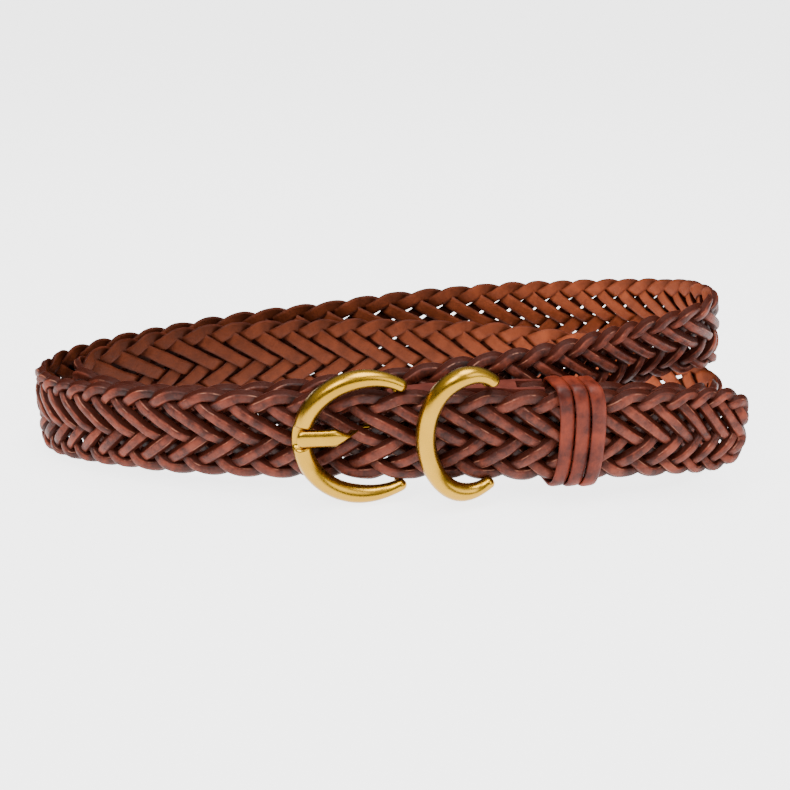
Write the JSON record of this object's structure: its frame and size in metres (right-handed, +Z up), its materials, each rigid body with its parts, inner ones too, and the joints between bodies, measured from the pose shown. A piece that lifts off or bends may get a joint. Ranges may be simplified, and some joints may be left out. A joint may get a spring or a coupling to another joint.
{
  "type": "braided leather belt",
  "caption": "Braided leather belt fastened and coiled in double turns on its edge, with a horseshoe buckle, metal loop, ribbed keeper and blunt woven tip.",
  "frame": {"origin": "under the middle of the whole coiled belt, on the ground plane", "axes": "+Z up; +X along the front strap towards the free tip; -Y towards the front, where the buckle is"},
  "size_m": [0.212, 0.0942, 0.0557],
  "materials": {
    "braid_leather": "waxed plaited lace, satin",
    "keeper_leather": "waxed, satin",
    "tab_leather": "smooth, satin",
    "satin_brass": "satin"
  },
  "bodies": {
    "root": {"braided_strap": "braid_leather", "buckle_frame": "satin_brass", "buckle_prong": "satin_brass", "keeper_ring": "satin_brass", "end_tab": "tab_leather", "keeper_band_1": "keeper_leather", "keeper_band_2": "keeper_leather", "keeper_band_3": "keeper_leather"}
  },
  "joints": []
}
